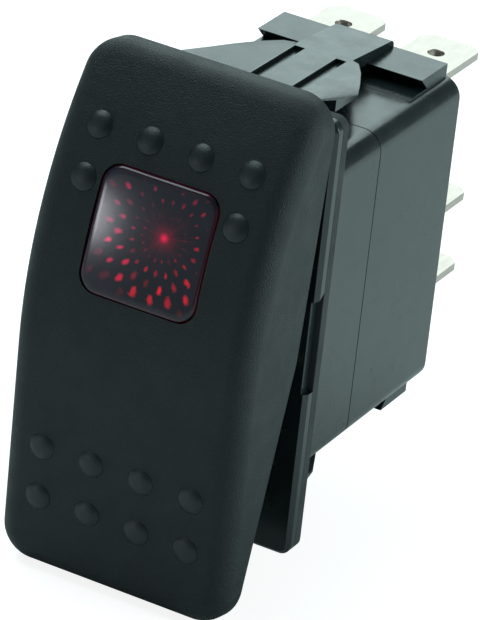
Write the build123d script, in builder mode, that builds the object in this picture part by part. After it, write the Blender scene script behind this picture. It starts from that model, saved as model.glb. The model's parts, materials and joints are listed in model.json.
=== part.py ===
from build123d import *
from math import asin, cos, pi, radians, sin, tan
import os

# Panel rocker switch that snaps into a rectangular cut-out, on-off, with a lit lens.
# Millimetres. +X is right seen from the front, +Z up along the rocker, +Y back through the panel.
# The origin is the centre of the cut-out, on the panel's front face. The upper end is pressed in.

# Housing behind the panel
housing_w = 21.0
housing_h = 32.6
housing_corner = 2.0
housing_depth = 27.3
wall = 1.5
rear_wall = 2.0
seam_y = 11.2
spigot_l = 2.0
spigot_wall = 0.6
fit = 0.05

# Flange in front of the panel, on its gasket
flange_side = 1.9
flange_h = 45.2
flange_t = 1.2
flange_corner = 1.2
flange_edge = 0.4
gasket_t = 1.15
gasket_gap = 0.1
notch_top_z = 4.3
notch_slant = 0.8
notch_bottom_z = -5.2
notch_depth = 0.6

# Pivot of the rocker, in two ears in front of the flange
pivot_y = -9.0
trunnion_r = 1.5
ear_r = 3.2
rocker_travel = 21.5
play = 0.4

# Snap tongues above and below, rooted on a bar at the back
bar_inset = 1.5
bar_rise = 1.5
bar_back_inset = 0.5
bar_l = 5.3
bar_lean = 1.3
ramp_l = 2.1
ramp_rise = 0.25
strap_w = 6.1
strap_rise = 0.65
strap_back_inset = 0.4
strap_l = 8.7
tongue_t = 1.2
tongue_shoulder_l = 9.4
tongue_shoulder_w = 8.2
tongue_shoulder_rise = 0.8
tongue_flare_l = 2.2
tongue_flare_w = 11.0
tongue_wing_l = 5.0
tongue_wing_w = 13.8
tongue_corner_l = 7.6
tongue_corner_w = 16.1
tongue_corner_rise = 1.6
tongue_end_y = 5.0
tongue_end_w = 16.6
tongue_end_rise = 0.95
tongue_tip_rise = 2.85
wing_edge_t = 0.25
wing_middle_t = 0.6
groove_x = 2.25
groove_w = 1.1
groove_depth = 0.45

# Rocker cap, in its own frame: v back from the pivot, w up along its length
cap_l = 51.6
cap_corner = 3.5
cap_wall = 1.8
cap_side_wall = 1.5
cap_round = 2.4
face_low_v = -1.15
face_slope = 11.55
face_bend_w = -4.0
face_r = 44.0
skirt_end_v = 1.7
skirt_middle_v = 3.75

# Raised dots on the face
dot_r = 1.25
dot_rise = 0.4
dot_root = 0.5
dot_bevel_rise = 0.38
dot_bevel_in = 0.65
dot_sides = 12
dots_across = 4
dot_margin = 4.375
dot_top_w = 18.6
dot_flank_w = 13.7
dot_low_w = -13.4
dot_lowest_w = -18.6

# Lens in the upper half of the face
lens_w = 12.2
lens_h = 12.2
lens_middle_w = 9.7
lens_corner = 1.9
lens_proud = 0.15
lens_edge = 0.35
lens_lip = 0.8
lens_gap = 0.12

# Lever under the cap, with its stem, plunger and spring
hub_r = 4.0
block_top_w = 2.2
block_bottom_w = -7.5
block_root_w = -4.0
stem_w = 8.0
stem_h = 6.2
plunger_r = 1.55
plunger_l = 11.0
plunger_reach = 24.0
plunger_show = 3.0
plunger_nose_r = 0.6
plunger_nose_l = 1.1
plunger_seat_r = 0.9
plunger_seat_l = 1.6
bore_start = 3.5
spring_wire_r = 0.22
spring_turns = 7
coil_steps = 8
wire_sides = 4

# Terminals: quick-connect tabs in a pattern of rows and two columns
tab_w = 6.35
tab_t = 0.8
tab_corner = 1.0
tab_hole_r = 0.82
tab_hole_inset = 3.9
column_margin = 0.085
row_margin = 0.78
power_tab_l = 9.8
lamp_tab_l = 8.8
blind_slot_depth = 0.8

# Contact blade, folded to a shallow V, and its contacts
blade_w = 7.2
blade_t = 0.8
blade_tail = 2.1
blade_upper_l = 6.0
blade_fold = 10.5
blade_swing = 10.0
blade_gap = 0.25
contact_drop = 2.14
contact_r = 1.8
contact_h = 0.9
contact_gap = 0.1
fixed_contact_r = 2.0
fixed_contact_h = 0.8
shank_r = 0.9
seat_ear_t = 0.8
seat_ear_gap = 0.3
seat_ear_reach = 1.9
seat_h = 4.4
load_plate_h = 5.2
plate_left = -4.7

# Lamp: board, diode, resistor and the two springs that feed it
board_t = 1.0
board_bottom_z = 6.0
board_y = 1.0
ledge_t = 1.5
ledge_reach = 1.2
led_r = 1.5
led_l = 8.6
led_standoff = 3.0
led_nose = 0.8
led_rim_r = 1.9
led_rim_t = 0.8
led_z = 9.4
lead_r = 0.25
lead_pitch = 1.27
resistor_r = 1.0
resistor_l = 5.0
resistor_z = 8.2
lamp_spring_r = 1.45
lamp_spring_wire_r = 0.25
lamp_spring_turns = 8
lamp_spring_drop = 3.22
lamp_leg_w = 4.4
lamp_leg_inset = 3.7
lamp_leg_foot = 1.9

# Worked out from the sizes above
inner_w = housing_w - 2 * wall
inner_h = housing_h - 2 * wall
inner_corner = housing_corner - wall / 2
cavity_w = inner_w - 2 * spigot_wall
cavity_h = inner_h - 2 * spigot_wall
flange_w = housing_w + 2 * flange_side
flange_front_y = -gasket_t - flange_t
cavity_end_y = housing_depth - rear_wall
bar_w = housing_w - 2 * bar_inset
bar_back_y = housing_depth - bar_back_inset
bar_front_y = bar_back_y - bar_l
bar_z = housing_h / 2 + bar_rise
ramp_front_y = bar_front_y - ramp_l
strap_z = bar_z + strap_rise
strap_back_y = housing_depth - strap_back_inset
strap_front_y = strap_back_y - strap_l
tongue_shoulder_y = strap_back_y - tongue_shoulder_l
cap_w = flange_w
dot_pitch = (cap_w - 2 * dot_margin) / (dots_across - 1)
column_x = (cavity_w - tab_w) / 2 - column_margin
row_pitch = (housing_h / 2 - row_margin) / 2
lamp_row_z = 2 * row_pitch
lamp_spring_z = lamp_row_z - lamp_spring_drop
lamp_leg_y = cavity_end_y - lamp_leg_inset
contact_along = row_pitch + contact_drop
blade_lower_l = contact_along + blade_tail
stem_l = plunger_reach - plunger_show
rest_lean = radians(rocker_travel / 2)
rocker_back = Vector(0, cos(rest_lean), -sin(rest_lean))
rocker_up = Vector(0, sin(rest_lean), cos(rest_lean))
rocker_side = Plane(origin=(0, pivot_y, 0), x_dir=rocker_back, z_dir=(1, 0, 0))
rocker_front = Plane(origin=(0, pivot_y, 0), x_dir=(1, 0, 0), z_dir=-rocker_back)
stem_plane = Plane(origin=(0, pivot_y, 0), x_dir=(1, 0, 0), z_dir=rocker_back)
face_bend_v = face_low_v - tan(radians(face_slope)) * (cap_l / 2 + face_bend_w)
face_centre_v = face_bend_v + face_r * cos(radians(face_slope))
face_centre_w = face_bend_w + face_r * sin(radians(face_slope))
blade_front_y = pivot_y + plunger_reach + blade_gap
blade_back_y = blade_front_y + blade_t


def face_place(w, depth):
    """Side-view place (v, w) under the face at height w, depth below its surface."""
    lean = max(asin((w - face_centre_w) / face_r), -radians(face_slope))
    slide = max(face_bend_w - w, 0) / cos(radians(face_slope))
    return (
        face_centre_v - (face_r - depth) * cos(lean) + slide * sin(radians(face_slope)),
        face_centre_w + (face_r - depth) * sin(lean) - slide * cos(radians(face_slope)),
    )


def face_profile(depth, end_w, back):
    """Side view of the room behind the face at this depth, closed by the points at the back."""
    with BuildSketch(rocker_side) as profile:
        with BuildLine():
            low = face_place(face_bend_w - 1, depth)
            bend = face_place(face_bend_w, depth)
            low_v = bend[0] + (low[0] - bend[0]) * (bend[1] + end_w) / (bend[1] - low[1])
            lean = asin((end_w - face_centre_w) / (face_r - depth))
            middle = face_place(face_bend_w + end_w / 2, depth)
            flat = Line((low_v, -end_w), bend)
            end = (
                face_centre_v - (face_r - depth) * cos(lean),
                face_centre_w + (face_r - depth) * sin(lean),
            )
            ThreePointArc(flat @ 1, middle, end)
            Polyline(end, *back, (low_v, -end_w))
        make_face()
    return profile.sketch


def face_plane(x, w):
    """Plane on the cap's face at this place, facing out."""
    lean = max(asin((w - face_centre_w) / face_r), -radians(face_slope))
    return Plane(
        origin=rocker_side.offset(x).from_local_coords((*face_place(w, 0), 0)),
        x_dir=(1, 0, 0),
        z_dir=rocker_up * sin(lean) - rocker_back * cos(lean),
    )


def coil(plane, length, radius, wire_r, turns):
    """Spring wound along the plane's normal, its round turns and wire in short straight runs."""
    rise = (length - 2 * wire_r) / (coil_steps * turns)
    turn = 2 * pi / coil_steps
    places = [
        plane.from_local_coords((radius * cos(i * turn), radius * sin(i * turn), wire_r + i * rise))
        for i in range(coil_steps * turns + 1)
    ]
    with BuildPart() as spring:
        with BuildLine() as path:
            Polyline(*places)
        with BuildSketch(Plane(origin=path.line @ 0, z_dir=path.line % 0)):
            RegularPolygon(wire_r, wire_sides)
        sweep(transition=Transition.RIGHT)
    return spring.part


def tab_outline(front_y, tip_y):
    """Flat tab seen from above, with its tip corners cut and its locking hole."""
    with BuildSketch() as outline:
        with Locations((0, (front_y + tip_y) / 2)):
            Rectangle(tab_w, tip_y - front_y)
        chamfer(outline.vertices().group_by(Axis.Y)[-1], tab_corner)
        with Locations((0, tip_y - tab_hole_inset)):
            Circle(tab_hole_r, mode=Mode.SUBTRACT)
    return outline.sketch


# Bezel: flange, front half of the housing and the two pivot ears, one moulding
with BuildPart() as bezel:
    with BuildSketch(Plane.XZ.offset(gasket_t)):
        RectangleRounded(flange_w, flange_h, flange_corner)
    extrude(amount=flange_t)
    chamfer(bezel.faces().sort_by(Axis.Y)[0].edges(), flange_edge)
    with BuildSketch(Plane.XZ.offset(gasket_t)):
        RectangleRounded(housing_w, housing_h, housing_corner)
    extrude(amount=-seam_y - gasket_t)
    with BuildSketch(Plane.XZ.offset(gasket_t + flange_t)):
        RectangleRounded(inner_w, inner_h, inner_corner)
    extrude(amount=-seam_y - gasket_t - flange_t, mode=Mode.SUBTRACT)
    with BuildSketch(Plane.YZ.offset(inner_w / 2)):
        with Locations((pivot_y, 0)):
            Circle(ear_r)
        with Locations(((pivot_y - gasket_t) / 2, 0)):
            Rectangle(-gasket_t - pivot_y, 2 * ear_r)
        with Locations((pivot_y, 0)):
            Circle(trunnion_r + fit, mode=Mode.SUBTRACT)
    extrude(amount=wall)
    ledge_h = inner_h / 2 - board_bottom_z
    with Locations(((inner_w - ledge_reach) / 2, board_y - ledge_t / 2, board_bottom_z + ledge_h / 2)):
        Box(ledge_reach, ledge_t, ledge_h)
    with BuildSketch(Plane.YZ.offset(flange_w / 2 - notch_depth)):
        Polygon(
            (-gasket_t, notch_top_z + notch_slant),
            (flange_front_y, notch_top_z),
            (flange_front_y, notch_bottom_z),
            (-gasket_t, notch_bottom_z),
            align=None,
        )
    extrude(amount=notch_depth, mode=Mode.SUBTRACT)
    split(bisect_by=Plane.YZ, keep=Keep.TOP)
    mirror(about=Plane.YZ)
bezel.part.label = "bezel"

# Gasket: flat ring of foam between the flange and the panel
with BuildPart() as panel_gasket:
    with BuildSketch(Plane.XZ):
        RectangleRounded(flange_w, flange_h, flange_corner)
        RectangleRounded(
            housing_w + 2 * gasket_gap, housing_h + 2 * gasket_gap, housing_corner, mode=Mode.SUBTRACT
        )
    extrude(amount=gasket_t)
panel_gasket.part.label = "panel_gasket"

# Snap tongue: a strap over the bar, then a plate whose wings bend up along two grooves
shoulder = Vector(strap_w / 2, tongue_shoulder_y, strap_z + tongue_shoulder_rise)
shoulder_side = (tongue_shoulder_w / 2, tongue_shoulder_y)
flare_side = (tongue_flare_w / 2, tongue_shoulder_y - tongue_flare_l)
wing_side = (tongue_wing_w / 2, tongue_shoulder_y - tongue_wing_l)
wing_corner = Vector(
    tongue_corner_w / 2, tongue_shoulder_y - tongue_corner_l, strap_z + tongue_corner_rise
)
wing_root = Vector(strap_w / 2, tongue_end_y, strap_z + tongue_end_rise)
wing_tip = Vector(tongue_end_w / 2, tongue_end_y, strap_z + tongue_tip_rise)
wing_foot = wing_corner - Vector(0, 0, wing_edge_t)
tip_foot = wing_tip - Vector(0, 0, tongue_t)
middle_foot = Vector(*wing_side, (wing_corner.Z + shoulder.Z) / 2 - wing_middle_t)


def wing_panel(outline, first, second, third):
    """Flat panel over this outline, its top face through three points."""
    normal = (second - first).cross(third - first)
    normal = normal if normal.Z > 0 else -normal
    with BuildPart() as panel:
        with BuildSketch(Plane.XY):
            Polygon(*outline, align=None)
        extrude(amount=housing_h)
        split(bisect_by=Plane(origin=first, z_dir=normal), keep=Keep.BOTTOM)
        split(bisect_by=Plane(origin=first - Vector(0, 0, tongue_t), z_dir=normal), keep=Keep.TOP)
    return panel.part


with BuildPart() as snap_tongue:
    with BuildSketch(Plane.YZ):
        Polygon(
            (strap_back_y, housing_h / 2),
            (strap_back_y, strap_z),
            (shoulder.Y, shoulder.Z),
            (wing_root.Y, wing_root.Z),
            (wing_root.Y, wing_root.Z - tongue_t),
            (shoulder.Y, shoulder.Z - tongue_t),
            (bar_front_y, strap_z - tongue_t + tongue_shoulder_rise / 2),
            (bar_front_y, housing_h / 2),
            align=None,
        )
    extrude(amount=strap_w / 2)
    rear_side = (strap_w / 2, strap_front_y)
    corner_side = (wing_corner.X, wing_corner.Y)
    root_side = (wing_root.X, wing_root.Y)
    tip_side = (wing_tip.X, wing_tip.Y)
    rear_outline = (rear_side, shoulder_side, flare_side, wing_side, corner_side, root_side)
    add(wing_panel(rear_outline, shoulder, wing_corner, wing_root))
    add(wing_panel((corner_side, tip_side, root_side), wing_corner, wing_tip, wing_root))
    under = (tip_foot - wing_foot).cross(middle_foot - wing_foot)
    split(bisect_by=Plane(origin=wing_foot, z_dir=under if under.Z > 0 else -under), keep=Keep.TOP)
    with BuildSketch(Plane.YZ.offset(groove_x)):
        Polygon(
            (shoulder.Y, wing_tip.Z),
            (shoulder.Y, shoulder.Z - groove_depth),
            (wing_root.Y, wing_root.Z - groove_depth),
            (wing_root.Y, wing_tip.Z),
            align=None,
        )
    extrude(amount=groove_w / 2, both=True, mode=Mode.SUBTRACT)
    mirror(about=Plane.YZ)

# Base: rear half of the housing, with the terminal slots, bars and snap tongues
with BuildPart() as base:
    with BuildSketch(Plane.XZ.offset(-housing_depth)):
        RectangleRounded(housing_w, housing_h, housing_corner)
    extrude(amount=housing_depth - seam_y)
    with BuildSketch(Plane.XZ.offset(-seam_y)):
        RectangleRounded(inner_w - 2 * fit, inner_h - 2 * fit, inner_corner)
    extrude(amount=spigot_l)
    with BuildSketch(Plane.YZ):
        for flip in (1, -1):
            Polygon(
                (bar_back_y, flip * (housing_h / 2 - wall)),
                (bar_back_y, flip * bar_z),
                (bar_front_y, flip * bar_z),
                (bar_front_y + bar_lean, flip * (housing_h / 2 + ramp_rise)),
                (ramp_front_y + ramp_rise, flip * (housing_h / 2 + ramp_rise)),
                (ramp_front_y, flip * housing_h / 2),
                (ramp_front_y, flip * (housing_h / 2 - wall)),
                align=None,
            )
    extrude(amount=bar_w / 2, both=True)
    with BuildSketch(Plane.XZ.offset(-cavity_end_y)):
        RectangleRounded(cavity_w, cavity_h, inner_corner)
    extrude(amount=cavity_end_y - seam_y + spigot_l, mode=Mode.SUBTRACT)
    add(snap_tongue.part)
    add(snap_tongue.part.mirror(Plane.XY))
    pocket_top_z = lamp_row_z + tab_t / 2 + fit
    pocket_bottom_z = cavity_h / 2 - fit
    pocket_front_y = lamp_leg_y - fit
    pocket_z = (pocket_top_z + pocket_bottom_z) / 2
    with BuildSketch(Plane.XZ.offset(-pocket_front_y)):
        with Locations((column_x, pocket_z), (-column_x, pocket_z)):
            Rectangle(tab_w + 2 * fit, pocket_top_z - pocket_bottom_z)
    extrude(amount=pocket_front_y - cavity_end_y, mode=Mode.SUBTRACT)
    with BuildSketch(Plane.XZ.offset(-housing_depth)):
        with Locations(
            (column_x, lamp_row_z), (-column_x, lamp_row_z), (column_x, 0), (column_x, -row_pitch)
        ):
            Rectangle(tab_w + 2 * fit, tab_t + 2 * fit)
    extrude(amount=rear_wall, mode=Mode.SUBTRACT)
    with BuildSketch(Plane.XZ.offset(-housing_depth)):
        with Locations(
            (column_x, row_pitch), (-column_x, row_pitch), (-column_x, 0), (-column_x, -row_pitch)
        ):
            Rectangle(tab_w + 2 * fit, tab_t + 2 * fit)
    extrude(amount=blind_slot_depth, mode=Mode.SUBTRACT)
base.part.label = "base"

# Rocker cap: hollow moulding, nearly flat over its lower half and rolled back over its upper half
cap_side = face_profile(
    0, cap_l / 2, [(skirt_end_v, cap_l / 2), (skirt_middle_v, 0), (skirt_end_v, -cap_l / 2)]
)
room_end_w = cap_l / 2 - cap_wall
room_back_v = hub_r + cap_wall
cap_room = face_profile(cap_wall, room_end_w, [(room_back_v, room_end_w), (room_back_v, -room_end_w)])
with BuildPart() as dot:
    with BuildSketch():
        RegularPolygon(dot_r, dot_sides)
    extrude(amount=dot_rise)
    dot_top = dot.faces().sort_by(Axis.Z)[-1]
    chamfer(dot_top.edges(), dot_bevel_in, dot_bevel_rise, reference=dot_top)
    extrude(dot.faces().sort_by(Axis.Z)[0], amount=dot_root)
lens_plane = face_plane(0, lens_middle_w)
lip_depth = cap_wall + (lens_h / 2 + lens_lip) ** 2 / (2 * face_r) + fit
with BuildPart() as rocker_cap:
    extrude(cap_side, amount=cap_w / 2, both=True)
    with BuildSketch(rocker_front.offset(-cap_l)):
        RectangleRounded(cap_w, cap_l, cap_corner)
    extrude(amount=2 * cap_l, mode=Mode.INTERSECT)
    roll_face = rocker_cap.faces().filter_by(GeomType.CYLINDER).sort_by(SortBy.AREA)[-1]
    flat_face = rocker_cap.faces().filter_by(GeomType.PLANE).sort_by(Axis.Y)[0]
    shared = [e.center() for e in flat_face.edges() if abs(e.length - cap_w) < fit]
    fillet(
        (flat_face.edges() + roll_face.edges()).filter_by(
            lambda e: not any((e.center() - place).length < fit for place in shared)
        ),
        cap_round,
    )
    dot_columns = [(i - (dots_across - 1) / 2) * dot_pitch for i in range(dots_across)]
    dots = [(x, w) for x in dot_columns for w in (dot_top_w, dot_low_w, dot_lowest_w)]
    dots += [(x, dot_flank_w) for x in (dot_columns[0], dot_columns[-1])]
    for x, w in dots:
        add(face_plane(x, w).location * dot.part)
    extrude(cap_room, amount=cap_w / 2 - cap_side_wall, both=True, mode=Mode.SUBTRACT)
    with BuildSketch(lens_plane):
        RectangleRounded(lens_w + 2 * lens_gap, lens_h + 2 * lens_gap, lens_corner)
    extrude(amount=2 * cap_wall, both=True, mode=Mode.SUBTRACT)
rocker_cap.part.label = "rocker_cap"

# Lens: clear red window, flat where the face is rolled, held from behind by its lip
with BuildPart() as lens:
    with BuildSketch(lens_plane.offset(lens_proud)):
        RectangleRounded(lens_w, lens_h, lens_corner)
    extrude(amount=-lens_proud - lip_depth)
    chamfer(lens.faces().sort_by(Axis(lens_plane.origin, lens_plane.z_dir))[-1].edges(), lens_edge)
    with BuildSketch(lens_plane.offset(-lip_depth)):
        RectangleRounded(lens_w + 2 * lens_lip, lens_h + 2 * lens_lip, lens_corner)
    extrude(amount=-lens_lip)
lens.part.label = "lens"

# Lever: hub with two trunnions, a block that carries the cap, and the stem with its bore
lever_w = inner_w - 2 * play - 2 * fit
with BuildPart() as rocker_lever:
    with BuildSketch(rocker_side):
        Polygon(
            (-cap_l, block_top_w),
            (0, block_top_w),
            (0, block_root_w),
            (-hub_r, block_bottom_w),
            (-cap_l, block_bottom_w),
            align=None,
        )
    extrude(amount=lever_w / 2, both=True)
    extrude(cap_room, amount=lever_w / 2, both=True, mode=Mode.INTERSECT)
    with BuildSketch(rocker_side):
        Circle(hub_r)
    extrude(amount=lever_w / 2, both=True)
    with BuildSketch(stem_plane):
        Rectangle(stem_w, stem_h)
    extrude(amount=stem_l)
    with BuildSketch(rocker_side):
        Circle(trunnion_r)
    extrude(amount=inner_w / 2 + wall - fit, both=True)
    with BuildSketch(stem_plane.offset(bore_start)):
        Circle(plunger_r + fit)
    extrude(amount=stem_l - bore_start, mode=Mode.SUBTRACT)
rocker_lever.part.label = "rocker_lever"

# Plunger: tapered nose that rides on the contact blade, with a seat for its spring
plunger_back = plunger_reach - plunger_l
with BuildPart() as plunger:
    with BuildSketch(stem_plane.offset(plunger_back)):
        Circle(plunger_r)
    extrude(amount=plunger_l - plunger_nose_l)
    with Locations(stem_plane.offset(plunger_reach - plunger_nose_l)):
        Cone(plunger_r, plunger_nose_r, plunger_nose_l, align=(Align.CENTER, Align.CENTER, Align.MIN))
    with BuildSketch(stem_plane.offset(plunger_back)):
        Circle(plunger_seat_r)
    extrude(amount=-plunger_seat_l)
plunger.part.label = "plunger"

# Plunger spring, from the bottom of the bore to the plunger's back
plunger_spring = coil(
    stem_plane.offset(bore_start),
    plunger_back - bore_start,
    plunger_r - spring_wire_r - fit,
    spring_wire_r,
    spring_turns,
)
plunger_spring.label = "plunger_spring"

# Contact blade: strip folded to a shallow V, resting with its lower wing against the fixed contact
lower_lean = radians(blade_fold - blade_swing / 2)
upper_lean = radians(blade_fold + blade_swing / 2)
lower_dir = Vector(0, -sin(lower_lean), -cos(lower_lean))
upper_dir = Vector(0, -sin(upper_lean), cos(upper_lean))
lower_normal = Vector(0, cos(lower_lean), -sin(lower_lean))
upper_normal = Vector(0, cos(upper_lean), sin(upper_lean))
back_apex = Vector(0, blade_back_y, 0)
front_apex = Vector(0, blade_front_y, 0)
contact_back = back_apex + lower_dir * contact_along
contact_plane = Plane(origin=contact_back, x_dir=(1, 0, 0), z_dir=lower_normal)
with BuildPart() as contact_blade:
    with BuildSketch(Plane.YZ):
        outline = [
            back_apex,
            back_apex + lower_dir * blade_lower_l,
            back_apex + lower_dir * blade_lower_l - lower_normal * blade_t,
            front_apex,
            back_apex + upper_dir * blade_upper_l - upper_normal * blade_t,
            back_apex + upper_dir * blade_upper_l,
        ]
        Polygon(*[(p.Y, p.Z) for p in outline], align=None)
    extrude(amount=blade_w / 2, both=True)
    with BuildSketch(contact_plane):
        Circle(shank_r)
    extrude(amount=-2 * blade_t, mode=Mode.SUBTRACT)
contact_blade.part.label = "contact_blade"

# Moving contact: silver rivet through the blade's lower wing
with BuildPart() as moving_contact:
    with BuildSketch(contact_plane):
        Circle(contact_r)
    extrude(amount=contact_h)
    with BuildSketch(contact_plane):
        Circle(shank_r)
    extrude(amount=-blade_t)
moving_contact.part.label = "moving_contact"

# Fixed contact: silver rivet on the load terminal, a hair behind the moving one
contact_corner = contact_back - lower_dir * contact_r + lower_normal * contact_h
fixed_face_y = contact_corner.Y + contact_gap
load_plate_y = fixed_face_y + fixed_contact_h
fixed_z = contact_back.Z
with BuildPart() as fixed_contact:
    with BuildSketch(Plane.XZ.offset(-load_plate_y)):
        with Locations((0, fixed_z)):
            Circle(fixed_contact_r)
    extrude(amount=fixed_contact_h)
    with BuildSketch(Plane.XZ.offset(-load_plate_y)):
        with Locations((0, fixed_z)):
            Circle(shank_r)
    extrude(amount=-tab_t)
fixed_contact.part.label = "fixed_contact"

# Common terminal: tab at mid height, folded to a seat that the blade rocks on
power_tip_y = housing_depth + power_tab_l
seat_y = blade_back_y + fit
plate_right = column_x + tab_w / 2
with BuildPart() as terminal_common:
    with BuildSketch(Plane.XY.offset(-tab_t / 2)):
        with Locations((column_x, 0)):
            add(tab_outline(seat_y, power_tip_y))
    extrude(amount=tab_t)
    with BuildSketch(Plane.XZ.offset(-seat_y)):
        with Locations(((plate_left + plate_right) / 2, 0)):
            Rectangle(plate_right - plate_left, seat_h)
    extrude(amount=-tab_t)
    for side in (1, -1):
        ear_x = side * (blade_w / 2 + seat_ear_gap + seat_ear_t / 2)
        with Locations((ear_x, seat_y + (tab_t - seat_ear_reach) / 2, 0)):
            Box(seat_ear_t, tab_t + seat_ear_reach, seat_h / 2)
terminal_common.part.label = "terminal_common"

# Load terminal: tab one row lower, folded down to carry the fixed contact
with BuildPart() as terminal_load:
    with BuildSketch(Plane.XY.offset(-row_pitch - tab_t / 2)):
        with Locations((column_x, 0)):
            add(tab_outline(load_plate_y, power_tip_y))
    extrude(amount=tab_t)
    with BuildSketch(Plane.XZ.offset(-load_plate_y)):
        with Locations(((plate_left + plate_right) / 2, -row_pitch + tab_t / 2 - load_plate_h / 2)):
            Rectangle(plate_right - plate_left, load_plate_h)
    extrude(amount=-tab_t)
    with BuildSketch(Plane.XZ.offset(-load_plate_y)):
        with Locations((0, fixed_z)):
            Circle(shank_r)
    extrude(amount=-tab_t, mode=Mode.SUBTRACT)
terminal_load.part.label = "terminal_load"

# Lamp terminals: tabs in the top row, each with a leg that its spring presses on
lamp_tip_y = housing_depth + lamp_tab_l
lamp_leg_bottom_z = lamp_spring_z - lamp_leg_foot


def lamp_terminal(x, name):
    """Tab in the top row at x, with its leg down in the cavity."""
    with BuildPart() as terminal:
        with BuildSketch(Plane.XY.offset(lamp_row_z - tab_t / 2)):
            with Locations((x, 0)):
                add(tab_outline(lamp_leg_y, lamp_tip_y))
        extrude(amount=tab_t)
        leg_h = lamp_row_z + tab_t / 2 - lamp_leg_bottom_z
        with Locations((x, lamp_leg_y + tab_t / 2, lamp_leg_bottom_z + leg_h / 2)):
            Box(lamp_leg_w, tab_t, leg_h)
    terminal.part.label = name
    return terminal.part


lamp_terminals = [
    lamp_terminal(-column_x, "lamp_terminal_left"),
    lamp_terminal(column_x, "lamp_terminal_right"),
]

# Lamp board: small circuit board behind the bezel's ledges
board_top_z = inner_h / 2 - fit
led_places = [(lead_pitch, led_z), (-lead_pitch, led_z)]
resistor_lead_x = resistor_l / 2 + 2 * lead_r
with BuildPart() as lamp_board:
    with BuildSketch(Plane.XZ.offset(-board_y)):
        with Locations((0, (board_bottom_z + board_top_z) / 2)):
            RectangleRounded(inner_w - 2 * fit, board_top_z - board_bottom_z, inner_corner)
    extrude(amount=-board_t)
lamp_board.part.label = "lamp_board"

# Light-emitting diode: tapered body with a rim, standing off the board on two leads
with BuildPart() as led:
    led_plane = Plane.XZ.offset(-board_y)
    with BuildSketch(led_plane.offset(led_standoff)):
        with Locations((0, led_z)):
            Circle(led_rim_r)
    extrude(amount=led_rim_t)
    with BuildSketch(led_plane.offset(led_standoff)):
        with Locations((0, led_z)):
            Circle(led_r)
    extrude(amount=led_l - led_standoff)
    chamfer(led.faces().sort_by(Axis.Y)[0].edges(), led_nose)
    with BuildSketch(led_plane):
        with Locations(*led_places):
            Rectangle(2 * lead_r, 2 * lead_r)
    extrude(amount=led_standoff)
led.part.label = "led"

# Resistor: banded cylinder on the back of the board, with its leads bent into it
with BuildPart() as resistor:
    resistor_y = board_y + board_t + resistor_r
    with BuildSketch(Plane.YZ.offset(-resistor_l / 2)):
        with Locations((resistor_y, resistor_z)):
            Circle(resistor_r)
    extrude(amount=resistor_l)
    with BuildSketch(Plane.YZ):
        with Locations((resistor_y, resistor_z)):
            RegularPolygon(lead_r, wire_sides)
    extrude(amount=resistor_lead_x, both=True)
    with BuildSketch(Plane.XZ.offset(-board_y - board_t)):
        with Locations((resistor_lead_x, resistor_z), (-resistor_lead_x, resistor_z)):
            RegularPolygon(lead_r, wire_sides)
    extrude(amount=-resistor_r - lead_r)
resistor.part.label = "resistor"

# Lamp springs: from the back of the board to the lamp terminals' legs
lamp_springs = []
for x, name in ((-column_x, "lamp_spring_left"), (column_x, "lamp_spring_right")):
    spring_plane = Plane(origin=(x, board_y + board_t, lamp_spring_z), x_dir=(1, 0, 0), z_dir=(0, 1, 0))
    spring = coil(
        spring_plane, lamp_leg_y - board_y - board_t, lamp_spring_r, lamp_spring_wire_r, lamp_spring_turns
    )
    spring.label = name
    lamp_springs.append(spring)

os.makedirs("parts", exist_ok=True)
pieces = [
    bezel.part,
    panel_gasket.part,
    base.part,
    rocker_cap.part,
    lens.part,
    rocker_lever.part,
    plunger.part,
    plunger_spring,
    contact_blade.part,
    moving_contact.part,
    fixed_contact.part,
    terminal_common.part,
    terminal_load.part,
    *lamp_terminals,
    lamp_board.part,
    led.part,
    resistor.part,
    *lamp_springs,
]
for piece in pieces:
    export_step(piece, f"parts/{piece.label}.step")
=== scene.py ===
import bmesh
import bpy
import json
from math import cos, pi, radians, sin
from mathutils import Matrix, Vector
from mathutils.bvhtree import BVHTree


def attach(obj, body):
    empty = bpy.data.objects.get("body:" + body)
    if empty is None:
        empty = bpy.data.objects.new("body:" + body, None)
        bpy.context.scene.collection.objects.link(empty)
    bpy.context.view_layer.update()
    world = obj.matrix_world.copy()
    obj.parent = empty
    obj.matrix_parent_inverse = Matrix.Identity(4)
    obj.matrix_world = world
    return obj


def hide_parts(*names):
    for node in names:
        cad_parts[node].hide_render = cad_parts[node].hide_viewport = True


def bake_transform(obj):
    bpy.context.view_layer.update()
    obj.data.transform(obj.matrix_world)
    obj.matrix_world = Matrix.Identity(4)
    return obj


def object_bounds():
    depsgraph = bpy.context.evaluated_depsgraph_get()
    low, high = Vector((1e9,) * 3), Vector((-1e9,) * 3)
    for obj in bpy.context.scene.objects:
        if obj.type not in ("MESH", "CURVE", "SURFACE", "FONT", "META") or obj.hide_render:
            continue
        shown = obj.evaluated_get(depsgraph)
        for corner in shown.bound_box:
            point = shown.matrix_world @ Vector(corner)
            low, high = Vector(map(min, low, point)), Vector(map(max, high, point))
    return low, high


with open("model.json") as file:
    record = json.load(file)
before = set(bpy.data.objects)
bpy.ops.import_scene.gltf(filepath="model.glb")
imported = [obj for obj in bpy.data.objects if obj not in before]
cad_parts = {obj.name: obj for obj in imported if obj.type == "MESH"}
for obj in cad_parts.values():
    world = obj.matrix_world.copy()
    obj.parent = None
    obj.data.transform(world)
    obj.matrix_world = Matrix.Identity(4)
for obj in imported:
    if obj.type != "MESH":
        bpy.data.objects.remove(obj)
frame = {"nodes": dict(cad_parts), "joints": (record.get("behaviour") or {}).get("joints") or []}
cad_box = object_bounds()

# Bezel and base: the flange with its two ears, and the two halves of the housing behind it.
# Both are satin black mouldings, snapped together at the fine seam round the housing. The base
# carries the two snap tongues, above and below, each on a strap that is rooted at the back.


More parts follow.
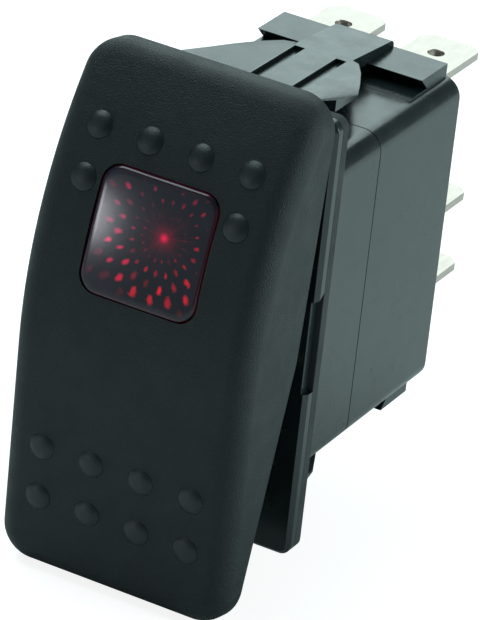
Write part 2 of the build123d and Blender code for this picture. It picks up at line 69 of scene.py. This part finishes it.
def fill(tree, node, inputs):
    """Links sockets to these inputs of the node, and sets the ones given as values."""
    for name, value in inputs.items():
        if isinstance(value, bpy.types.NodeSocket):
            tree.links.new(value, node.inputs[name])
        else:
            node.inputs[name].default_value = value


def step(tree, kind, inputs=None, **settings):
    """Node of this kind with its settings and inputs."""
    node = tree.nodes.new(kind)
    for name, value in settings.items():
        setattr(node, name, value)
    fill(tree, node, inputs or {})
    return node


def new_material(name):
    """Material with a Principled surface, read on the piece's own place."""
    material = bpy.data.materials.new(name)
    material.use_nodes = True
    tree = material.node_tree
    place = step(tree, "ShaderNodeTexCoord").outputs["Object"]
    return material, tree, tree.nodes["Principled BSDF"], place


def noise(tree, place, scale, detail=2.0):
    """Noise of this scale per metre."""
    inputs = {"Vector": place, "Scale": scale, "Detail": detail, "Roughness": 0.5}
    return step(tree, "ShaderNodeTexNoise", inputs).outputs["Fac"]


def spread(tree, value, low, high, start=0.0, end=1.0):
    """Value mapped from start..end to low..high, held at both ends."""
    inputs = {"Value": value, "From Min": start, "From Max": end, "To Min": low, "To Max": high}
    return step(tree, "ShaderNodeMapRange", inputs).outputs["Result"]


def tones(tree, value, first, second):
    """Colour between two colours."""
    inputs = {"Factor": value, "A": (*first, 1), "B": (*second, 1)}
    return step(tree, "ShaderNodeMix", inputs, data_type="RGBA").outputs["Result"]


def bump(tree, height, strength, distance):
    """Bump from a height."""
    inputs = {"Height": height, "Strength": strength, "Distance": distance}
    return step(tree, "ShaderNodeBump", inputs).outputs["Normal"]


def moulded(name, dark, light, rough, grain, strength, depth, shine=0.5):
    """Moulded plastic: two close tones, an uneven sheen and a fine etched grain."""
    cloud_scale = 160
    sheen_scale = 420
    sheen_swing = 0.05
    material, tree, surface, place = new_material(name)
    cloud = spread(tree, noise(tree, place, cloud_scale, 3), 0, 1, 0.35, 0.65)
    dull, glossy = rough + sheen_swing, rough - sheen_swing
    look = {
        "Base Color": tones(tree, cloud, dark, light),
        "Roughness": spread(tree, noise(tree, place, sheen_scale, 4), glossy, dull, 0.3, 0.7),
        "Specular IOR Level": shine,
        "Normal": bump(tree, noise(tree, place, grain), strength, depth),
    }
    fill(tree, surface, look)
    return material


def shown(name, data):
    """Object of this data in the scene."""
    thing = bpy.data.objects.new(name, data)
    bpy.context.scene.collection.objects.link(thing)
    return thing


def finished(node, body, material, width=0.0001, angle=30):
    """The CAD node's own shape, merged and smooth, with its sharp edges broken."""
    same_place = 0.000002
    same_plane = radians(0.6)
    cad = frame["nodes"][node].data
    mesh = bpy.data.meshes.new(node + "_finish")
    mesh.from_pydata([v.co for v in cad.vertices], [], [list(p.vertices) for p in cad.polygons])
    shape = bmesh.new()
    shape.from_mesh(mesh)
    bmesh.ops.remove_doubles(shape, verts=shape.verts, dist=same_place)
    bmesh.ops.dissolve_limit(
        shape,
        angle_limit=same_plane,
        verts=shape.verts,
        edges=shape.edges,
        use_dissolve_boundaries=False,
    )
    bmesh.ops.recalc_face_normals(shape, faces=shape.faces)
    shape.to_mesh(mesh)
    shape.free()
    for polygon in mesh.polygons:
        polygon.use_smooth = True
    mesh.set_sharp_from_angle(angle=radians(angle))
    mesh.materials.append(material)
    piece = shown(node + "_finish", mesh)
    if width:
        edge = piece.modifiers.new("edge", "BEVEL")
        edge.width = width
        edge.segments = 2
        edge.limit_method = "ANGLE"
        edge.angle_limit = radians(angle)
        edge.harden_normals = True
        edge.use_clamp_overlap = True
    if body:
        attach(piece, body)
    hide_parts(node)
    return piece


housing_tones = (0.009, 0.0145, 0.015), (0.012, 0.018, 0.019)
housing_black = moulded(
    "housing_black", *housing_tones, rough=0.24, grain=5200, strength=0.25, depth=0.00002, shine=0.82
)
finished("bezel", "housing", housing_black)
base = finished("base", "housing", housing_black)
nearly = 0.00001

# the base's rim stands back from the bezel's by the seam's gap
seam_place = 0.0112
seam_gap = 0.00009
for vertex in base.data.vertices:
    if abs(vertex.co.y - seam_place) < nearly:
        vertex.co.y += seam_gap

# the strap of each tongue rolls over at its back end
strap_height = 0.018
strap_half = 0.00306
strap_end = max(v.co.y for v in base.data.vertices if abs(v.co.z) > strap_height)
weights = base.data.attributes.new("bevel_weight_edge", "FLOAT", "EDGE")
for edge in base.data.edges:
    ends = [base.data.vertices[v].co for v in edge.vertices]
    at_end = all(strap_end - e.y < nearly and abs(e.z) > strap_height for e in ends)
    if at_end and all(abs(e.x) < strap_half for e in ends):
        weights.data[edge.index].value = 1
rounding = base.modifiers.new("strap_end", "BEVEL")
rounding.width = 0.0006
rounding.segments = 5
rounding.limit_method = "WEIGHT"
base.modifiers.move(1, 0)

# Gasket: a flat ring of closed-cell foam, cut to the flange's outline. The panel holds it behind
# the flange, where its edge shows as a dull and grainy layer.
foam_tones = (0.018, 0.021, 0.022), (0.030, 0.034, 0.035)
gasket_foam = moulded(
    "gasket_foam", *foam_tones, rough=0.75, grain=3800, strength=0.9, depth=0.00008
)
finished("panel_gasket", "housing", gasket_foam)

# Rocker cap: hollow black moulding with a fine matt etched grain on its face and sides. It snaps
# over the block of the lever, and its face rolls back over the upper half.
cap_tones = (0.0050, 0.0098, 0.0106), (0.0068, 0.0124, 0.0132)
cap_grain = 7800
cap_black = moulded(
    "cap_black", *cap_tones, rough=0.48, grain=cap_grain, strength=1.0, depth=0.0001, shine=0.38
)
cap = finished("rocker_cap", "rocker", cap_black, width=0)

# Raised dots: fourteen low domes moulded on the face, so that a finger finds the ends in the
# dark. Each end has two rows of four, but the second row from the top has only its outer two,
# one on each side of the lens.
tilt = next(j for j in frame["joints"] if j["name"] == "rocker_tilt")
pivot = Vector(tilt["pos_m"])
rest_lean = radians(tilt["range_deg"][1] / 2)
rocker_back = Vector((0, cos(rest_lean), -sin(rest_lean)))
rocker_up = Vector((0, sin(rest_lean), cos(rest_lean)))
dot_radius = 0.0014
dot_rise = 0.0004
dot_column = 0.00535
four = (-1.5, -0.5, 0.5, 1.5)
dot_rows = {0.0186: four, 0.0137: (-1.5, 1.5), -0.0134: four, -0.0186: four}
cad_dot_rise = 0.0004
above_face = 0.0001
below_next = 0.001
in_front = 0.05
cap_mesh = frame["nodes"]["rocker_cap"].data
cap_face = BVHTree.FromPolygons(
    [v.co for v in cap_mesh.vertices], [list(p.vertices) for p in cap_mesh.polygons]
)
places = []
facings = []
for row, columns in dot_rows.items():
    for column in columns:
        start = pivot + Vector((column * dot_column, 0, 0)) + rocker_up * row
        top, facing, _, _ = cap_face.ray_cast(start - rocker_back * in_front, rocker_back)
        facing = facing if facing.y < 0 else -facing
        foot = top - facing * cad_dot_rise
        places.append(foot)
        facings.append(facing)
        # the plain dot of the CAD sinks into the face, under the dome
        for vertex in cap.data.vertices:
            height = (vertex.co - foot).dot(facing)
            aside = (vertex.co - foot - facing * height).length
            if above_face < height < below_next and aside < dot_radius:
                vertex.co -= facing * height
dot_mesh = bpy.data.meshes.new("dot_places")
dot_mesh.from_pydata(places, [], [])
facing_data = dot_mesh.attributes.new("facing", "FLOAT_VECTOR", "POINT")
for number, facing in enumerate(facings):
    facing_data.data[number].vector = facing
dots = shown("dots", dot_mesh)


def maths(tree, operation, first, *others):
    """The operation on sockets or numbers, from left to right."""
    for second in others or (0,):
        inputs = {0: first, 1: second}
        first = step(tree, "ShaderNodeMath", inputs, operation=operation).outputs[0]
    return first


def length_of(tree, first, second):
    """Length of the two together, at right angles."""
    squares = [maths(tree, "POWER", side, 2) for side in (first, second)]
    return maths(tree, "SQRT", maths(tree, "ADD", *squares))


dome_sizes = {
    "Radius": dot_radius,
    "Rise": dot_rise,
    "Sink": 0.00004,
    "Fullness": 2.6,
    "Softness": 1.0,
}
dome_tree = bpy.data.node_groups.new("dome_on_places", "GeometryNodeTree")
dome_tree.interface.new_socket("Geometry", in_out="INPUT", socket_type="NodeSocketGeometry")
size_inputs = {}
for name, value in dome_sizes.items():
    socket = dome_tree.interface.new_socket(name, in_out="INPUT", socket_type="NodeSocketFloat")
    socket.default_value = value
    size_inputs[name] = socket.identifier
paint = dome_tree.interface.new_socket(
    "Material", in_out="INPUT", socket_type="NodeSocketMaterial"
)
dome_tree.interface.new_socket("Geometry", in_out="OUTPUT", socket_type="NodeSocketGeometry")

given = step(dome_tree, "NodeGroupInput").outputs
cone = step(
    dome_tree,
    "GeometryNodeMeshCone",
    {
        "Vertices": 32,
        "Side Segments": 12,
        "Radius Top": 0,
        "Radius Bottom": given["Radius"],
        "Depth": given["Rise"],
    },
)
position = step(dome_tree, "GeometryNodeInputPosition").outputs[0]
at = step(dome_tree, "ShaderNodeSeparateXYZ", {0: position}).outputs
across = maths(dome_tree, "DIVIDE", length_of(dome_tree, at["X"], at["Y"]), given["Radius"])
share = maths(dome_tree, "POWER", across, given["Fullness"])
bell = maths(dome_tree, "POWER", maths(dome_tree, "SUBTRACT", 1, share), given["Softness"])
whole_rise = maths(dome_tree, "ADD", given["Rise"], given["Sink"])
height = maths(dome_tree, "MULTIPLY", bell, whole_rise)
over_foot = maths(dome_tree, "SUBTRACT", height, given["Sink"])
domed = step(dome_tree, "ShaderNodeCombineXYZ", {"X": at["X"], "Y": at["Y"], "Z": over_foot})
shaped = step(
    dome_tree,
    "GeometryNodeSetPosition",
    {"Geometry": cone.outputs["Mesh"], "Position": domed.outputs[0]},
)
smooth = step(dome_tree, "GeometryNodeSetShadeSmooth", {"Geometry": shaped.outputs[0]})
facing_read = step(
    dome_tree, "GeometryNodeInputNamedAttribute", {"Name": "facing"}, data_type="FLOAT_VECTOR"
)
turned = step(
    dome_tree,
    "FunctionNodeAlignRotationToVector",
    {"Vector": facing_read.outputs["Attribute"]},
    axis="Z",
)
placed = step(
    dome_tree,
    "GeometryNodeInstanceOnPoints",
    {
        "Points": given["Geometry"],
        "Instance": smooth.outputs[0],
        "Rotation": turned.outputs["Rotation"],
    },
)
real = step(dome_tree, "GeometryNodeRealizeInstances", {0: placed.outputs[0]})
painted = step(
    dome_tree,
    "GeometryNodeSetMaterial",
    {"Geometry": real.outputs[0], "Material": given["Material"]},
)
step(dome_tree, "NodeGroupOutput", {0: painted.outputs[0]})


def baked(piece):
    """The modifiers' result as the piece's own plain mesh."""
    graph = bpy.context.evaluated_depsgraph_get()
    result = bpy.data.meshes.new_from_object(piece.evaluated_get(graph))
    piece.modifiers.clear()
    piece.data = result


dot_black = moulded(
    "dot_black", *cap_tones, rough=0.40, grain=cap_grain, strength=0.8, depth=0.00004
)
growing = dots.modifiers.new("domes", "NODES")
growing.node_group = dome_tree
growing[paint.identifier] = dot_black
for name, value in dome_sizes.items():
    growing[size_inputs[name]] = value
baked(dots)
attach(dots, "rocker")

# Lens: a clear dark red window, slightly pillowed, pushed into the cap from behind and held by
# its lip. Rings of small prisms moulded inside it catch the lamp, which shows as a glow; here that
# glow is painted light, given off by the window's own surface.
lens_cad = frame["nodes"]["lens"].data
lens_fronts = [p for p in lens_cad.polygons if p.normal.y < -0.5]
lens_facing = max(lens_fronts, key=lambda p: p.area).normal.copy()
lens_reach = max(v.co @ lens_facing for v in lens_cad.vertices)
lens_depth = lens_reach - min(v.co @ lens_facing for v in lens_cad.vertices)
near_front = 0.0001
lens_front = [v.co for v in lens_cad.vertices if lens_reach - v.co @ lens_facing < near_front]
lens_low = Vector([min(place[i] for place in lens_front) for i in range(3)])
lens_high = Vector([max(place[i] for place in lens_front) for i in range(3)])
lens_middle = (lens_low + lens_high) / 2
lens_right = Vector((1, 0, 0))
lens_up = lens_right.cross(lens_facing).normalized()
lens_up = lens_up if lens_up.z > 0 else -lens_up
lens_half = 0.0061
lens_corner = 0.0019
lens_crown_up = 0.0002
lens_crown_across = 0.00014
lens_round = 0.00035
lens_lip = 0.0008
corner_steps = 8
side_steps = 8
round_steps = 4
face_steps = 14


def lens_outline(inset):
    """Rounded square, this far inside the lens's outline, anticlockwise from the front."""
    half = lens_half - inset
    corner = max(lens_corner - inset * lens_corner / lens_half, 0.0001)
    points = []
    for quarter in range(4):
        turn = quarter * pi / 2
        middle = Vector((half - corner, half - corner)) @ Matrix.Rotation(-turn, 2)
        for i in range(corner_steps + 1):
            angle = turn + i * pi / 2 / corner_steps
            points.append(middle + corner * Vector((cos(angle), sin(angle))))
        first = points[-1]
        last = Vector((-(half - corner), half)) @ Matrix.Rotation(-turn, 2)
        for i in range(1, side_steps):
            points.append(first.lerp(last, i / side_steps))
    return points


def lens_point(flat, depth, pillow=True):
    """Place on the lens: across, up, and in from its pillowed front or from its flat one."""
    if pillow:
        depth += lens_crown_across * (flat.x / lens_half) ** 2
        depth += lens_crown_up * (flat.y / lens_half) ** 2
    return lens_middle + lens_right * flat.x + lens_up * flat.y - lens_facing * depth


rings = [
    [lens_point(p, lens_depth, False) for p in lens_outline(-lens_lip)],
    [lens_point(p, lens_depth - lens_lip, False) for p in lens_outline(-lens_lip)],
    [lens_point(p, lens_depth - lens_lip, False) for p in lens_outline(0)],
    [lens_point(p, lens_round) for p in lens_outline(0)],
]
for i in range(1, round_steps + 1):
    turn = i * pi / 2 / round_steps
    inset = lens_round * (1 - cos(turn))
    rings.append([lens_point(p, lens_round * (1 - sin(turn))) for p in lens_outline(inset)])
for i in range(1, face_steps):
    inset = lens_round + (lens_half - lens_round) * i / face_steps
    rings.append([lens_point(p, 0) for p in lens_outline(inset)])
count = len(rings[0])
vertices = [v for ring in rings for v in ring] + [lens_point(Vector((0, 0)), 0)]
faces = []
for i in range(len(rings) - 1):
    for j in range(count):
        k = (j + 1) % count
        faces.append((i * count + j, i * count + k, (i + 1) * count + k, (i + 1) * count + j))
last_ring = (len(rings) - 1) * count
faces += [(last_ring + j, last_ring + (j + 1) % count, len(vertices) - 1) for j in range(count)]
faces.append(tuple(reversed(range(count))))
window = bpy.data.meshes.new("lens_window")
window.from_pydata(vertices, [], faces)
for polygon in window.polygons:
    polygon.use_smooth = True
window.set_sharp_from_angle(angle=radians(50))

# the painted glow is laid out on the lens's plane, round the place where the lamp shows through from
# the camera's place
lens_red_painted_glow, tree, surface, place = new_material("lens_red_painted_glow")
to_lens = Matrix((lens_right, lens_up, lens_facing))
seen_across = 0.00153
seen_up = 0.0010
lamp_seen = lens_middle + lens_right * seen_across + lens_up * seen_up
to_pattern = {
    "Vector": place,
    "Location": -(to_lens @ lamp_seen),
    "Rotation": to_lens.to_euler(),
}
flat_place = step(tree, "ShaderNodeMapping", to_pattern, vector_type="POINT").outputs["Vector"]
seen = step(tree, "ShaderNodeSeparateXYZ", {0: flat_place}).outputs
right = seen["X"]
upward = seen["Y"]
radius = length_of(tree, right, upward)
angle = maths(tree, "ARCTAN2", upward, right)

# each prism is a cell of a ring, and has its own chances
prisms_round = 20
first_ring = 0.00148
ring_pitch = 0.00125
along = maths(tree, "DIVIDE", maths(tree, "SUBTRACT", radius, first_ring), ring_pitch)
ring_number = maths(tree, "FLOOR", along)
ring_share = maths(tree, "SUBTRACT", maths(tree, "FRACT", along), 0.5)
offset = maths(tree, "MULTIPLY", ring_number, 0.5)
turned_by = maths(tree, "ADD", maths(tree, "MULTIPLY", angle, prisms_round / (2 * pi)), offset)
prism_number = maths(tree, "FLOOR", turned_by)
prism_share = maths(tree, "SUBTRACT", maths(tree, "FRACT", turned_by), 0.5)
cell = step(tree, "ShaderNodeCombineXYZ", {"X": ring_number, "Y": prism_number}).outputs[0]
chance = step(tree, "ShaderNodeTexWhiteNoise", {"Vector": cell}, noise_dimensions="3D")
chances = step(tree, "ShaderNodeSeparateColor", {0: chance.outputs["Color"]}).outputs

# its painted lit spot is a wavering oval, larger away from the middle and low down
prism_wide = 0.00030
prism_long = 0.00052
shift = spread(tree, chances["Red"], -0.12, 0.12)
side_way = maths(tree, "MULTIPLY", prism_share, 2 * pi / prisms_round, radius)
long_way = maths(tree, "MULTIPLY", maths(tree, "ADD", ring_share, shift), ring_pitch)
size = maths(
    tree,
    "MULTIPLY",
    spread(tree, radius, 0.35, 1.2, 0.0020, 0.0062),
    spread(tree, upward, 1.15, 0.8, -0.005, 0.004),
    spread(tree, chances["Green"], 0.8, 1.15),
)
wobble = spread(tree, noise(tree, flat_place, 2600, 1), 0.75, 1.25, 0.3, 0.7)
blob = length_of(
    tree,
    maths(tree, "DIVIDE", side_way, maths(tree, "MULTIPLY", size, prism_wide)),
    maths(tree, "DIVIDE", long_way, maths(tree, "MULTIPLY", size, prism_long)),
)
painted_prism_spots = maths(
    tree,
    "MULTIPLY",
    spread(tree, maths(tree, "MULTIPLY", blob, wobble), 1, 0, 0.35, 1.0),
    spread(tree, radius, 0.22, 1.0, 0.0022, 0.0056),
    spread(tree, radius, 1.0, 0.25, 0.0063, 0.0068),
    spread(tree, upward, 1.1, 0.55, -0.004, 0.003),
    spread(tree, chances["Blue"], 0.15, 1.1),
    spread(tree, radius, 0, 1, 0.0015, 0.0018),
)

# the painted prism spots end short of the window's edge, which gets a faint painted highlight of its
# own
painted_rim_highlight = 0
for value, from_middle in ((right, seen_across), (upward, seen_up)):
    reach = maths(tree, "ABSOLUTE", maths(tree, "ADD", value, from_middle))
    inside = spread(tree, reach, 1, 0, 0.0050, 0.0056)
    painted_prism_spots = maths(tree, "MULTIPLY", painted_prism_spots, inside)
    painted_rim_highlight = maths(tree, "ADD", painted_rim_highlight, spread(tree, reach, 0, 0.022, 0.0056, 0.0060))

# the lamp's painted glow: a bright core in a soft glow, with fine rays
painted_glow_strength = 0.28
painted_ray_strength = 0.10
rays_round = 26
glow = maths(tree, "POWER", spread(tree, radius, 1, 0, 0.0, 0.0019), 2.5)
core = maths(tree, "POWER", spread(tree, radius, 1, 0, 0.0, 0.0006), 1.5)
circle = {
    "X": maths(tree, "MULTIPLY", maths(tree, "COSINE", angle), rays_round),
    "Y": maths(tree, "MULTIPLY", maths(tree, "SINE", angle), rays_round),
}
ray_place = step(tree, "ShaderNodeCombineXYZ", circle).outputs[0]
ray_noise = noise(tree, ray_place, 1.0, 1.0)
painted_rays = maths(
    tree,
    "MULTIPLY",
    spread(tree, ray_noise, 0, painted_ray_strength, 0.45, 0.7),
    spread(tree, radius, 1, 0, 0.0006, 0.0034),
)
painted_soft_glow = maths(tree, "MULTIPLY", glow, painted_glow_strength)
painted_lamp_glow = maths(tree, "ADD", painted_prism_spots, painted_soft_glow, core, painted_rim_highlight, painted_rays)
# the painted glow turns magenta towards the top left
painted_glow_magenta_side = spread(tree, maths(tree, "SUBTRACT", upward, right), 0, 1, -0.004, 0.005)
haze = spread(tree, noise(tree, flat_place, 300), 0, 1, 0.3, 0.7)
lens_look = {
    "Base Color": tones(tree, haze, (0.010, 0.009, 0.019), (0.017, 0.014, 0.029)),
    "Roughness": 0.14,
    "IOR": 1.52,
    "Emission Color": tones(tree, painted_glow_magenta_side, (0.66, 0.0, 0.014), (0.66, 0.004, 0.095)),
    "Emission Strength": painted_lamp_glow,
}
fill(tree, surface, lens_look)
window.materials.append(lens_red_painted_glow)
lens = shown("lens_window", window)
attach(lens, "rocker")
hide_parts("lens")

# Terminals: quick-connect tabs stamped from brass strip and tinned, bright with fine rolling
# marks. They stand through slots in the back of the base.
tin, tree, surface, place = new_material("tin")
rolled = {"Vector": place, "Scale": (6, 0.4, 6)}
rolled_place = step(tree, "ShaderNodeMapping", rolled).outputs["Vector"]
patches = noise(tree, place, 700, 4)
tin_look = {
    "Metallic": 1,
    "Base Color": tones(tree, patches, (0.56, 0.48, 0.43), (0.64, 0.55, 0.50)),
    "Roughness": spread(tree, noise(tree, rolled_place, 900, 3), 0.29, 0.40, 0.3, 0.7),
}
fill(tree, surface, tin_look)
for node in ("terminal_common", "terminal_load", "lamp_terminal_left", "lamp_terminal_right"):
    finished(node, "housing", tin, width=0.00008)

# Lever and plunger: the black moulding that carries the cap turns on its two trunnions in the
# ears, and its stem holds the sprung plunger, a slippery pale moulding.
lever_tones = (0.030, 0.035, 0.037), (0.042, 0.047, 0.049)
lever_black = moulded(
    "lever_black", *lever_tones, rough=0.4, grain=4200, strength=0.3, depth=0.00003
)
finished("rocker_lever", "rocker", lever_black, width=0.00008)
plunger_tones = (0.70, 0.68, 0.60), (0.78, 0.76, 0.69)
plunger_pale = moulded(
    "plunger_pale", *plunger_tones, rough=0.3, grain=3000, strength=0.2, depth=0.00002
)
finished("plunger", "plunger", plunger_pale, width=0)

# Springs: bright drawn steel wire, wound as coils. One sits in the stem behind the plunger, which
# presses it shorter when pushed in; here it keeps one fixed shape. Two stand behind the lamp board
# and feed it.


def drawn_metal(name, dark, light, rough):
    """Worked metal: two close tones and fine drawing marks."""
    patch_scale = 900
    mark_scale = 5000
    mark_swing = 0.06
    material, tree, surface, place = new_material(name)
    dull, glossy = rough + mark_swing, rough - mark_swing
    look = {
        "Metallic": 1,
        "Base Color": tones(tree, noise(tree, place, patch_scale, 3), dark, light),
        "Roughness": spread(tree, noise(tree, place, mark_scale), glossy, dull, 0.3, 0.7),
    }
    fill(tree, surface, look)
    return material


def coated(node, material):
    """The CAD node as it is, in this material."""
    for slot in frame["nodes"][node].material_slots:
        slot.material = material


spring_steel = drawn_metal("spring_wire", (0.50, 0.50, 0.48), (0.66, 0.66, 0.64), rough=0.28)
for node in ("lamp_spring_left", "lamp_spring_right"):
    coated(node, spring_steel)
coil = finished("plunger_spring", None, spring_steel, width=0, angle=60)
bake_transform(coil)

# Contacts: a copper strip folded to a shallow V, which rocks on its seat under the plunger, and
# a silver rivet through its lower wing. The silver rivet that it meets is on the load terminal.
copper = drawn_metal("copper_strip", (0.62, 0.34, 0.20), (0.74, 0.44, 0.28), rough=0.32)
finished("contact_blade", "blade", copper, width=0.00006)
silver = drawn_metal("silver_rivet", (0.78, 0.77, 0.74), (0.88, 0.87, 0.84), rough=0.22)
finished("moving_contact", "blade", silver)
finished("fixed_contact", "housing", silver)

# Lamp: a small laminate board behind the lens, pressed forward by its two springs. It carries a
# moulded red diode on its front, and on its back a lacquered resistor with dark bands.
board_tones = (0.36, 0.28, 0.12), (0.48, 0.38, 0.18)
board_tan = moulded(
    "board_laminate", *board_tones, rough=0.5, grain=2600, strength=0.4, depth=0.00004
)
coated("lamp_board", board_tan)
diode_red, tree, surface, place = new_material("diode_red")
resin = noise(tree, place, 600)
diode_look = {
    "Base Color": tones(tree, resin, (0.55, 0.02, 0.03), (0.75, 0.05, 0.05)),
    "Roughness": 0.1,
    "Transmission Weight": 0.5,
    "Emission Color": (1.0, 0.03, 0.06, 1),
    "Emission Strength": 0.6,
}
fill(tree, surface, diode_look)
finished("led", "housing", diode_red, width=0)
lacquer, tree, surface, place = new_material("lacquer")
band_pitch = 0.0011
along_body = step(tree, "ShaderNodeSeparateXYZ", {0: place}).outputs["X"]
band = maths(tree, "FRACT", maths(tree, "MULTIPLY", along_body, 1 / band_pitch))
from_band = maths(tree, "ABSOLUTE", maths(tree, "SUBTRACT", band, 0.5))
on_band = spread(tree, from_band, 1, 0, 0.16, 0.2)
lacquer_look = {
    "Base Color": tones(tree, on_band, (0.62, 0.47, 0.28), (0.16, 0.07, 0.03)),
    "Roughness": 0.3,
}
fill(tree, surface, lacquer_look)
coated("resistor", lacquer)

# Floor: a plain pale sheet at the height of the switch's lowest point. To the camera it is
# nearly as white as the paper of a product photograph.
floor_height = cad_box[0][2]
floor_reach = 3.0
signs = ((-1, -1), (1, -1), (1, 1), (-1, 1))
corners = [(x * floor_reach, y * floor_reach, floor_height) for x, y in signs]
floor_mesh = bpy.data.meshes.new("floor")
floor_mesh.from_pydata(corners, [], [(0, 1, 2, 3)])
floor = shown("floor", floor_mesh)
floor_white, tree, surface, place = new_material("floor_white")
fibres = noise(tree, place, 60, 3)
floor_look = {
    "Base Color": tones(tree, fibres, (0.78, 0.80, 0.80), (0.82, 0.84, 0.84)),
    "Roughness": 0.9,
    "Specular IOR Level": 0.0,
}
fill(tree, surface, floor_look)


def seen_as(tree, real_look, camera_look, output):
    """One look for the camera, and another for all that the light does."""
    ray = step(tree, "ShaderNodeLightPath").outputs["Is Camera Ray"]
    choice = step(tree, "ShaderNodeMixShader", {"Fac": ray, 1: real_look, 2: camera_look})
    fill(tree, output, {"Surface": choice.outputs[0]})


lit = step(tree, "ShaderNodeBsdfDiffuse", {"Color": (0.45, 0.45, 0.45, 1)})
paper = step(tree, "ShaderNodeEmission", {"Color": (1, 1, 1, 1), "Strength": 0.86})
bright = step(tree, "ShaderNodeAddShader", {0: lit.outputs[0], 1: paper.outputs[0]})
seen_as(tree, surface.outputs[0], bright.outputs[0], tree.nodes["Material Output"])
floor_mesh.materials.append(floor_white)

# Light: the air is white to the camera and dim and cool to the switch, and soft boxes stand
# round it, where the photograph shows their light and their reflections.
bpy.context.scene.view_settings.view_transform = "Standard"
world = bpy.data.worlds.new("studio")
bpy.context.scene.world = world
world.use_nodes = True
air = world.node_tree
dim = air.nodes["Background"]
fill(air, dim, {"Color": (0.78, 0.98, 1.0, 1), "Strength": 0.13})
white = step(air, "ShaderNodeBackground", {"Color": (1, 1, 1, 1), "Strength": 1})
seen_as(air, dim.outputs[0], white.outputs[0], air.nodes["World Output"])
cool = (0.80, 1.0, 1.0)
violet = (0.92, 0.92, 1.0)


def softbox(name, place, wide, high, brightness, colour=cool):
    """Soft box at a place, aimed at the switch, of this brightness."""
    data = bpy.data.lights.new(name, "AREA")
    data.shape = "RECTANGLE"
    data.size = wide
    data.size_y = high
    data.energy = brightness * pi * wide * high
    data.color = colour
    lamp = shown(name, data)
    lamp.location = place
    lamp.rotation_euler = (-Vector(place)).to_track_quat("-Z", "Y").to_euler()


softbox("back_box", (-0.24, 0.48, 0.27), wide=0.55, high=0.35, brightness=2.0)
softbox("top_box", (-0.25, 0.05, 0.55), wide=0.50, high=0.40, brightness=3.6)
softbox("right_box", (0.58, 0.22, 0.13), wide=0.35, high=0.30, brightness=8.0)
softbox("left_strip", (-0.39, -0.58, 0.07), wide=0.11, high=0.065, brightness=12.0, colour=violet)
softbox("front_box", (-0.50, -1.05, 0.30), wide=1.00, high=0.75, brightness=0.22)

# Camera: where the photograph was taken from, close and with a long lens. Its place was found
# from the switch's own straight edges and the known sizes of its tabs and cut-out.
camera_place = Vector((0.19205, -0.37258, 0.21007))
camera_right = Vector((0.8643, 0.4932, 0.0983))
camera_back = Vector((0.4036, -0.7968, 0.4496)).normalized()
camera_up = camera_back.cross(camera_right).normalized()
camera_right = camera_up.cross(camera_back)
camera_turn = Matrix((camera_right, camera_up, camera_back)).transposed().to_4x4()
camera_data = bpy.data.cameras.new("camera")
camera_data.sensor_fit = "HORIZONTAL"
camera_data.sensor_width = 36
camera_data.lens = 375
camera_data.clip_start = 0.01
camera = shown("camera", camera_data)
camera.matrix_world = Matrix.Translation(camera_place) @ camera_turn
bpy.context.scene.camera = camera
